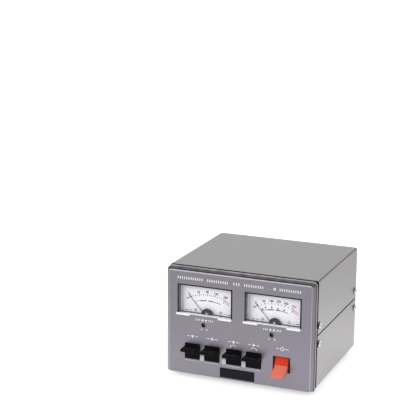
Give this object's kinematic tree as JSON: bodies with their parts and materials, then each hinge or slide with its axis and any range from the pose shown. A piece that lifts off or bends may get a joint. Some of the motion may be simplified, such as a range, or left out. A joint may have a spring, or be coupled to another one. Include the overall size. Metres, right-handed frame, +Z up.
{
  "type": "antenna rotator controller",
  "caption": "Desktop control box with two pointer meters, paddle keys to turn and tilt an antenna, and a power paddle.",
  "frame": {"origin": "under the middle of the whole object, on the plane that the rubber feet rest on", "axes": "+Z up, the front panel faces -Y, +X to the right seen from the front"},
  "size_m": [0.2048, 0.2172, 0.148],
  "materials": {
    "panel_paint": "satin grey metallic paint",
    "cover_paint": "satin warm grey metallic paint",
    "rear_paint": "satin warm grey metallic paint",
    "chassis_steel": "plated sheet steel",
    "nickel": "nickel-plated",
    "rubber": "moulded black rubber",
    "badge_black": "gloss black",
    "steel_rod": "ground steel",
    "black_plastic": "moulded black",
    "orange_plastic": "moulded orange",
    "board_green": "solder-masked board",
    "adjuster_blue": "moulded blue",
    "socket_metal": "nickel-plated shell",
    "fuse_glass": "clear glass tube with plated caps",
    "gland_black": "moulded black",
    "brass": "turned brass",
    "relay_blue": "moulded case",
    "capacitor_sleeve": "shrunk sleeve",
    "core_iron": "varnished laminations",
    "winding_tape": "taped copper winding",
    "meter_black": "moulded black",
    "clear_lens": "clear moulded cover",
    "dial_white": "printed white",
    "pointer_black": "black-painted strip",
    "copper_wire": "enamelled wire",
    "magnet_iron": "bare magnet",
    "key_black": "satin moulded black",
    "terminal_black": "moulded black"
  },
  "bodies": {
    "case": {"azimuth_terminals": "terminal_black", "badge_plate": "badge_black", "board_screws": "nickel", "board_standoffs": "brass", "bottom_cover": "cover_paint", "bridge_rectifier": "black_plastic", "capacitors": "capacitor_sleeve", "chassis": "chassis_steel", "control_socket": "socket_metal", "cord_gland": "gland_black", "cover_screws": "nickel", "elevation_terminals": "terminal_black", "foot_screws": "nickel", "front_adjusters": "adjuster_blue", "front_board": "board_green", "front_panel": "panel_paint", "fuse_holder": "black_plastic", "key_pivot_rod": "steel_rod", "key_switches": "black_plastic", "left_dial_plate": "dial_white", "left_meter_case": "meter_black", "left_meter_lens": "clear_lens", "left_meter_magnet": "magnet_iron", "left_pivot_shroud": "meter_black", "main_board": "board_green", "power_pivot_pin": "steel_rod", "power_switch_body": "black_plastic", "rear_adjusters": "adjuster_blue", "rear_panel": "rear_paint", "relays": "relay_blue", "right_dial_plate": "dial_white", "right_meter_case": "meter_black", "right_meter_lens": "clear_lens", "right_meter_magnet": "magnet_iron", "right_pivot_shroud": "meter_black", "rubber_feet": "rubber", "strip_screws": "nickel", "terminal_screws": "nickel", "top_cover": "cover_paint", "transformer_bracket": "chassis_steel", "transformer_core": "core_iron", "transformer_screws": "nickel", "transformer_winding": "winding_tape"},
    "down_key": {"down_key": "key_black"},
    "up_key": {"up_key": "key_black"},
    "left_key": {"left_key": "key_black"},
    "right_key": {"right_key": "key_black"},
    "power_paddle": {"power_paddle": "orange_plastic"},
    "left_movement": {"left_pointer": "pointer_black", "left_meter_coil": "copper_wire"},
    "left_zero_screw": {"left_zero_screw": "meter_black"},
    "left_adjuster": {"left_adjuster_rotor": "black_plastic"},
    "right_movement": {"right_pointer": "pointer_black", "right_meter_coil": "copper_wire"},
    "right_zero_screw": {"right_zero_screw": "meter_black"},
    "right_adjuster": {"right_adjuster_rotor": "black_plastic"},
    "rear_left_adjuster": {"rear_left_rotor": "brass"},
    "rear_right_adjuster": {"rear_right_rotor": "brass"},
    "fuse_carrier": {"fuse_cap": "black_plastic", "fuse_link": "fuse_glass"}
  },
  "joints": [
    {"name": "down_key_press", "type": "hinge", "parent": "case", "child": "down_key", "pos_m": [-0.0628, -0.08185, 0.038], "axis": [1, 0, 0], "range_deg": [0, 7], "stiffness_Nm_per_rad": 0.3, "springref_deg": -5.73},
    {"name": "up_key_press", "type": "hinge", "parent": "case", "child": "up_key", "pos_m": [-0.0358, -0.08185, 0.038], "axis": [1, 0, 0], "range_deg": [0, 7], "stiffness_Nm_per_rad": 0.3, "springref_deg": -5.73},
    {"name": "left_key_press", "type": "hinge", "parent": "case", "child": "left_key", "pos_m": [-0.0058, -0.08185, 0.038], "axis": [1, 0, 0], "range_deg": [0, 7], "stiffness_Nm_per_rad": 0.3, "springref_deg": -5.73},
    {"name": "right_key_press", "type": "hinge", "parent": "case", "child": "right_key", "pos_m": [0.0209, -0.08185, 0.038], "axis": [1, 0, 0], "range_deg": [0, 7], "stiffness_Nm_per_rad": 0.3, "springref_deg": -5.73},
    {"name": "power_paddle_tilt", "type": "hinge", "parent": "case", "child": "power_paddle", "pos_m": [0.0582, -0.08185, 0.038], "axis": [1, 0, 0], "range_deg": [-20, 0]},
    {"name": "left_pointer_swing", "type": "hinge", "parent": "case", "child": "left_movement", "pos_m": [-0.04618, -0.07785, 0.0814], "axis": [0, 1, 0], "range_deg": [0, 86], "stiffness_Nm_per_rad": 0.0002, "springref_deg": -8.59},
    {"name": "left_zero_set", "type": "hinge", "parent": "case", "child": "left_zero_screw", "pos_m": [-0.04618, -0.08185, 0.088], "axis": [0, 1, 0], "range_deg": [-30, 30]},
    {"name": "left_adjuster_turn", "type": "hinge", "parent": "case", "child": "left_adjuster", "pos_m": [-0.04757, -0.08485, 0.075], "axis": [0, 1, 0], "range_deg": [-135, 135]},
    {"name": "right_pointer_swing", "type": "hinge", "parent": "case", "child": "right_movement", "pos_m": [0.04537, -0.07785, 0.0814], "axis": [0, 1, 0], "range_deg": [0, 86], "stiffness_Nm_per_rad": 0.0002, "springref_deg": -8.59},
    {"name": "right_zero_set", "type": "hinge", "parent": "case", "child": "right_zero_screw", "pos_m": [0.04537, -0.08185, 0.088], "axis": [0, 1, 0], "range_deg": [-30, 30]},
    {"name": "right_adjuster_turn", "type": "hinge", "parent": "case", "child": "right_adjuster", "pos_m": [0.04448, -0.08485, 0.075], "axis": [0, 1, 0], "range_deg": [-135, 135]},
    {"name": "rear_left_adjuster_turn", "type": "hinge", "parent": "case", "child": "rear_left_adjuster", "pos_m": [-0.018, 0.09115, 0.059], "axis": [0, 1, 0], "range_deg": [-135, 135]},
    {"name": "rear_right_adjuster_turn", "type": "hinge", "parent": "case", "child": "rear_right_adjuster", "pos_m": [0.002, 0.09115, 0.059], "axis": [0, 1, 0], "range_deg": [-135, 135]},
    {"name": "fuse_draw", "type": "slide", "parent": "case", "child": "fuse_carrier", "axis": [0, 1, 0], "range_m": [0, 0.03]}
  ]
}
